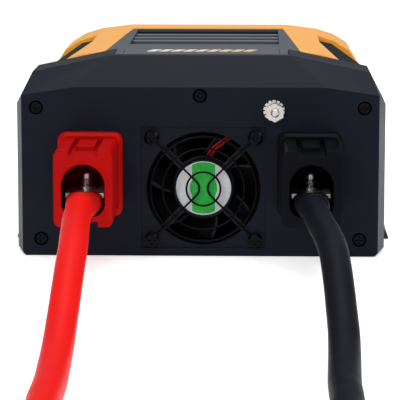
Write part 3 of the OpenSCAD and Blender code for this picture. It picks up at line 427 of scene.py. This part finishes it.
# %% [markdown]
# ## The printed label on the fan
#
# A fan's hub carries a round label. Its print here is plain: a bright green band from top to bottom and
# a green disc in the middle, on silver-white, with a bare rim. Distances from the fan's axis pick the
# colour, so the print needs no image.

# %% Fan label
low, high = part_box("fan_label")
FAN_X, FAN_Z = (low[0] + high[0]) / 2, (low[2] + high[2]) / 2
LABEL_R = (high[0] - low[0]) / 2
BAND, DISC, RIM = 0.42, 0.5, 0.95
label = Finish("fan_label_print", (0.7, 0.72, 0.72), 0.4, specular_ior_level=0.2)
x, y, z = label.axes()
across = (x - FAN_X).abs() / LABEL_R
out = ((x - FAN_X) * (x - FAN_X) + (z - FAN_Z) * (z - FAN_Z)).root() / LABEL_R
green = (across < BAND).or_else(out < DISC) * (out < RIM)
paper_white = label.blend(label.noise(0.003), (0.42, 0.46, 0.48, 1), (0.6, 0.63, 0.64, 1))
ink_green = label.blend(label.noise(0.0012, 3.0), (0.006, 0.26, 0.028, 1), (0.02, 0.46, 0.055, 1))
label.set("Base Color", label.blend(green, paper_white, ink_green))
label.relief(label.noise(0.0008), 0.00002)
coat(label, "fan_label")
print("label radius", round(LABEL_R * 1000, 1), "mm")

# %% [markdown]
# ## The electronics
#
# The board, windings, capacitors and fuses are only glimpsed through the vents, so plain recipes from
# the helpers above are enough: lacquered green laminate, taped copper, sleeved cans and tinted fuses.

# %% Electronics
coat(smooth_plastic("board_lacquer", (0.01, 0.07, 0.03), (0.008, 0.05, 0.02), 0.3), "main_board")
coat(metal("ferrite", (0.04, 0.04, 0.045), 0.6, edge=0.0005), "transformer_cores")
# The tape's dark amber is partly painted shade: the windings sit in the shade inside the case, and
# their tape is a brighter orange.
coat(smooth_plastic("winding_tape", (0.30, 0.16, 0.02), (0.24, 0.12, 0.015), 0.4),
     "transformer_windings")
coat(textured_plastic("epoxy_case", (0.010, 0.010, 0.012), 0.5), "transistors")
coat(smooth_plastic("can_sleeve", (0.02, 0.03, 0.12), (0.015, 0.025, 0.1), 0.3), "capacitors")
coat(metal("enamelled_copper", (0.5, 0.2, 0.06), 0.3, stretch=(8, 8, 1)), "filter_choke")
coat(smooth_plastic("fuse_tint", (0.7, 0.2, 0.02), (0.6, 0.16, 0.015), 0.2), "input_fuses")
coat(smooth_plastic("lead_insulation", (0.22, 0.003, 0.003), (0.17, 0.002, 0.002), 0.35, shine=0.15),
     "fan_leads")
lens = Finish("lens_green", (0.1, 0.6, 0.2), 0.2, coat_weight=0.5)
coat(lens.relief(lens.noise(0.002), 0.00001, 0.0003), "indicator_lenses")

# %% [markdown]
# ## The badge
#
# The front of the top bay carries a badge. A plain run of slanted bars, fading from white to gold,
# fills it. Geometry Nodes set out the bars: a line of points, one sheared bar on each, then the bars
# are made real, so that the piece is a plain mesh. The number of bars and their size are the tree's
# inputs.


# %% Tools for geometry trees
class Tree:
    """A Geometry Nodes tree with named inputs."""

    def __init__(self, name, **inputs):
        self.group = bpy.data.node_groups.new(name, "GeometryNodeTree")
        self.group.interface.new_socket("Geometry", in_out="OUTPUT", socket_type="NodeSocketGeometry")
        self.values = inputs
        for key, value in inputs.items():
            kind = "NodeSocketInt" if isinstance(value, int) else "NodeSocketFloat"
            self.group.interface.new_socket(key, in_out="INPUT", socket_type=kind)
        self.source = self.group.nodes.new("NodeGroupInput")

    def node(self, kind, settings=None, **links):
        made = self.group.nodes.new(kind)
        for key, value in (settings or {}).items():
            setattr(made, key, value)
        for key, value in links.items():
            numbered = key[0] == "i" and key[1:].isdigit()
            socket = made.inputs[int(key[1:]) if numbered else key]
            if hasattr(value, "is_output"):
                self.group.links.new(value, socket)
            else:
                socket.default_value = value
        return made

    def of(self, key):
        return self.source.outputs[key]

    def build(self, name, geometry, material):
        """Ends the tree, runs it on an empty mesh and returns the result as a plain mesh object."""
        real = self.node("GeometryNodeRealizeInstances", i0=geometry)
        painted = self.node("GeometryNodeSetMaterial", i0=real.outputs[0], i2=material)
        sink = self.group.nodes.new("NodeGroupOutput")
        self.group.links.new(painted.outputs[0], sink.inputs[0])
        blank = bpy.data.objects.new(name + "_blank", bpy.data.meshes.new(name))
        bpy.context.scene.collection.objects.link(blank)
        modifier = blank.modifiers.new("tree", "NODES")
        modifier.node_group = self.group
        for item in self.group.interface.items_tree:
            if item.item_type == "SOCKET" and item.in_out == "INPUT":
                modifier[item.identifier] = self.values[item.name]
        graph = bpy.context.evaluated_depsgraph_get()
        mesh = bpy.data.meshes.new_from_object(blank.evaluated_get(graph))
        bpy.data.objects.remove(blank)
        mesh.name = name
        piece = bpy.data.objects.new(name, mesh)
        bpy.context.scene.collection.objects.link(piece)
        print(name, len(mesh.polygons), "faces")
        return piece


# %% Badge bars
low, high = (Vector(c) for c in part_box("name_badge"))
BADGE_BARS = 9
BAR_W, BAR_L, BAR_T = 0.0042, 0.009, 0.00025
BAR_PROUD = 0.00018
BAR_REACH = 0.62
BAR_SLANT = 0.35
badge_print = Finish("badge_print", (0.9, 0.88, 0.8), 0.3, coat_weight=0.4)
x, y, z = badge_print.axes()
badge_print.set("Base Color", badge_print.blend((x - low.x) / (high.x - low.x),
                                                (0.92, 0.93, 0.95, 1), (1.0, 0.5, 0.06, 1)))
badge_print.relief(badge_print.noise(0.001), 0.00001, 0.0001)
badge_tree = Tree("badge_bars", Bars=BADGE_BARS, Width=BAR_W, Length=BAR_L, Thickness=BAR_T)
size = badge_tree.node("ShaderNodeCombineXYZ", i0=badge_tree.of("Width"), i1=badge_tree.of("Length"),
                       i2=badge_tree.of("Thickness"))
bar_mesh = badge_tree.node("GeometryNodeMeshCube", i0=size.outputs[0])
middle_y = (low.y + high.y) / 2
start, end = (Vector((low.x * k, middle_y, high.z - BAR_T / 2 + BAR_PROUD))
              for k in (BAR_REACH, -BAR_REACH))
row = badge_tree.node("GeometryNodeMeshLine", {"mode": "END_POINTS"}, i0=badge_tree.of("Bars"),
                      i2=start, i3=end)
bars = badge_tree.node("GeometryNodeInstanceOnPoints", i0=row.outputs[0], i2=bar_mesh.outputs[0])
badge_bars = badge_tree.build("badge_bars", bars.outputs[0], badge_print.material)
for vertex in badge_bars.data.vertices:
    vertex.co.x += (vertex.co.y - middle_y) * BAR_SLANT
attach(badge_bars, "housing")
badge_film = smooth_plastic("badge_film", (0.02, 0.022, 0.028), (0.014, 0.015, 0.02), 0.25)
coat(badge_film, "name_badge")

# %% [markdown]
# ## The fan's wheel
#
# A fan blade isn't a flat plate: it is curved along its chord and swept back towards its tip. One blade
# is a rule, so Geometry Nodes make it: a flat grid whose width becomes the angle round the axis, whose
# height becomes the radius, and whose chord also advances along the axis, a little bowed. A copy of the
# blade is set on each of as many points, all on the axis, and turned by its own share of the circle. A
# plain cylinder makes the hub, and Solidify then gives the blades their thickness.

# %% Fan wheel
low, high = (Vector(c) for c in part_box("fan_rotor"))
WHEEL_AXIS = Vector((FAN_X, 0, FAN_Z))
TIP_R = (high.x - low.x) / 2
HUB_R = 0.0152
SHAFT_REACH = 0.0025
WHEEL_FRONT = low.y + SHAFT_REACH
WHEEL_DEPTH = high.y - WHEEL_FRONT
BLADES = 7
BLADE_T = 0.0009
wheel = Tree("fan_wheel", Blades=BLADES, Hub=HUB_R, Tip=TIP_R - 0.0002, Depth=WHEEL_DEPTH - 0.0016,
             Chord=math.radians(50), Sweep=math.radians(16), Bow=0.10)


def sum_of(tree, how, first, second):
    return tree.node("ShaderNodeMath", {"operation": how}, i0=first, i1=second).outputs[0]


flat = wheel.node("GeometryNodeMeshGrid", i0=1.0, i1=1.0, i2=13, i3=7)
where = wheel.node("ShaderNodeSeparateXYZ", i0=wheel.node("GeometryNodeInputPosition").outputs[0])
along = sum_of(wheel, "ADD", where.outputs[0], 0.5)
up = sum_of(wheel, "ADD", where.outputs[1], 0.5)
span = sum_of(wheel, "SUBTRACT", wheel.of("Tip"), wheel.of("Hub"))
root_r = sum_of(wheel, "SUBTRACT", wheel.of("Hub"), BLADE_T)
radius = sum_of(wheel, "ADD", sum_of(wheel, "MULTIPLY", up, span), root_r)
radius = sum_of(wheel, "MINIMUM", sum_of(wheel, "ADD", radius, BLADE_T), wheel.of("Tip"))
turn = sum_of(wheel, "ADD", sum_of(wheel, "MULTIPLY", along, wheel.of("Chord")),
              sum_of(wheel, "MULTIPLY", up, wheel.of("Sweep")))
bow = sum_of(wheel, "MULTIPLY", sum_of(wheel, "SINE", sum_of(wheel, "MULTIPLY", along, math.pi), 0.0),
             wheel.of("Bow"))
ahead = sum_of(wheel, "MULTIPLY", sum_of(wheel, "ADD", along, bow), wheel.of("Depth"))
bent = wheel.node("ShaderNodeCombineXYZ",
                  i0=sum_of(wheel, "MULTIPLY", radius, sum_of(wheel, "SINE", turn, 0.0)), i1=ahead,
                  i2=sum_of(wheel, "MULTIPLY", radius, sum_of(wheel, "COSINE", turn, 0.0)))
blade = wheel.node("GeometryNodeSetPosition", i0=flat.outputs[0], i2=bent.outputs[0])
ring = wheel.node("GeometryNodeMeshLine", {"mode": "OFFSET"}, i0=wheel.of("Blades"), i2=(0, 0, 0),
                  i3=(0, 0, 0))
step = sum_of(wheel, "DIVIDE", math.tau, wheel.of("Blades"))
share = sum_of(wheel, "MULTIPLY", wheel.node("GeometryNodeInputIndex").outputs[0], step)
spin = wheel.node("ShaderNodeCombineXYZ", i1=share)
blades = wheel.node("GeometryNodeInstanceOnPoints", i0=ring.outputs[0], i2=blade.outputs[0],
                    i5=spin.outputs[0])
fan_blades = wheel.build("fan_blades", blades.outputs[0], fan_plastic.material)
fan_blades.data.transform(Matrix.Translation(WHEEL_AXIS + Vector((0, WHEEL_FRONT + 0.0004, 0))))
thick = fan_blades.modifiers.new("thickness", "SOLIDIFY")
thick.thickness = BLADE_T
thick.offset = 0.0
for face in fan_blades.data.polygons:
    face.use_smooth = True

hub = Tree("fan_hub", Radius=HUB_R, Depth=WHEEL_DEPTH)
drum = hub.node("GeometryNodeMeshCylinder", i0=64, i1=1, i3=hub.of("Radius"), i4=hub.of("Depth"))
fan_hub = hub.build("fan_hub", drum.outputs[0], fan_plastic.material)
fan_hub.data.transform(Matrix.Translation(WHEEL_AXIS + Vector((0, WHEEL_FRONT + WHEEL_DEPTH / 2, 0)))
                       @ Matrix.Rotation(math.radians(90), 4, "X"))
round_edge = fan_hub.modifiers.new("rounded_rim", "BEVEL")
round_edge.width = MOULD_EDGE
round_edge.segments = 3
for piece in (fan_blades, fan_hub):
    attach(piece, "fan_impeller")
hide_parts("fan_rotor")
print("fan wheel of", BLADES, "blades, radius", round(TIP_R * 1000, 1), "mm")

# %% [markdown]
# ## The terminal screws' spring washers
#
# Between each terminal's screw head and its flat washer sits a coiled spring washer, and it is the
# stack of bright edges that shows in the mouth. Each is a short run of rings, so Geometry Nodes put a
# round ring on each point of a short upright line.

# %% Spring washers
COILS, COIL_PITCH, WIRE_R = 3, 0.0012, 0.00045

low, high = (Vector(c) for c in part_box("terminal_washers"))
screw_box = [Vector(c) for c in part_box("terminal_screws")]
screw_r = (screw_box[1].y - screw_box[0].y) / 2
washer_x = high.x - (high.y - low.y) / 2
for side, name in ((-1, "red_spring_washer"), (1, "black_spring_washer")):
    coils = Tree(name, Coils=COILS, Pitch=COIL_PITCH, Radius=screw_r + WIRE_R * 0.8, Wire=WIRE_R)
    lift = coils.node("ShaderNodeCombineXYZ", i2=coils.of("Pitch"))
    stack = coils.node("GeometryNodeMeshLine", {"mode": "OFFSET"}, i0=coils.of("Coils"),
                       i2=(side * washer_x, (low.y + high.y) / 2, high.z + WIRE_R), i3=lift.outputs[0])
    path = coils.node("GeometryNodeCurvePrimitiveCircle", i0=40, i4=coils.of("Radius"))
    section = coils.node("GeometryNodeCurvePrimitiveCircle", i0=10, i4=coils.of("Wire"))
    coil = coils.node("GeometryNodeCurveToMesh", i0=path.outputs[0], i1=section.outputs[0])
    rings = coils.node("GeometryNodeInstanceOnPoints", i0=stack.outputs[0], i2=coil.outputs[0])
    piece = coils.build(name, rings.outputs[0], nickel.material)
    for face in piece.data.polygons:
        face.use_smooth = True
    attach(piece, "housing")

# %% [markdown]
# ## The stage
#
# A product stands on a white sweep under large soft lights. The camera sees a plain white backdrop, but
# the parts see a dimmer room, which leaves the metals something dark to mirror. The paper glows a
# little, so that its far part is as white as the backdrop. One big panel overhead lights the floor and
# gives the soft highlight along the top, and two weaker ones open the battery end.

# %% Floor and light
ROOM_GLOW = 0.35
PAPER_GLOW = 0.45
floor_mesh = bpy.data.meshes.new("studio_floor")
floor_mesh.from_pydata([(-6, -6, 0), (6, -6, 0), (6, 6, 0), (-6, 6, 0)], [], [(0, 1, 2, 3)])
floor = bpy.data.objects.new("studio_floor", floor_mesh)
floor.location.z = -0.0002
bpy.context.scene.collection.objects.link(floor)
paper = Finish("white_paper", (0.92, 0.92, 0.92), 0.9, emission_strength=PAPER_GLOW)
paper.set("Emission Color", (1, 1, 1, 1))
floor_mesh.materials.append(paper.material)

world = bpy.data.worlds.new("studio")
bpy.context.scene.world = world
world.use_nodes = True
sky = world.node_tree
backdrop = sky.nodes["Background"]
backdrop.inputs[0].default_value = (1, 1, 1, 1)
room = sky.nodes.new("ShaderNodeBackground")
room.inputs[0].default_value = (0.93, 0.96, 1, 1)
room.inputs[1].default_value = ROOM_GLOW
seen = sky.nodes.new("ShaderNodeLightPath")
either = sky.nodes.new("ShaderNodeMixShader")
sky.links.new(seen.outputs["Is Camera Ray"], either.inputs[0])
sky.links.new(room.outputs[0], either.inputs[1])
sky.links.new(backdrop.outputs[0], either.inputs[2])
sky.links.new(either.outputs[0], sky.nodes["World Output"].inputs[0])


def soft_light(name, place, aim, size, watts):
    data = bpy.data.lights.new(name, "AREA")
    data.shape, data.size, data.size_y, data.energy = "RECTANGLE", size[0], size[1], watts
    lamp = bpy.data.objects.new(name, data)
    lamp.location = place
    lamp.rotation_euler = (Vector(aim) - Vector(place)).to_track_quat("-Z", "Y").to_euler()
    bpy.context.scene.collection.objects.link(lamp)


soft_light("overhead_panel", (0.1, 0.1, 1.3), (0, 0.0, 0.05), (1.5, 1.2), 16)
soft_light("front_panel", (-0.7, -1.7, 1.1), (0, -0.15, 0.03), (0.7, 0.7), 14)
soft_light("right_panel", (1.2, -1.0, 0.9), (0, -0.15, 0.03), (0.5, 0.9), 8)
bpy.context.scene.view_settings.view_transform = "Standard"
print("stage set")

# %% Bring the scene up to date
bpy.context.view_layer.update()
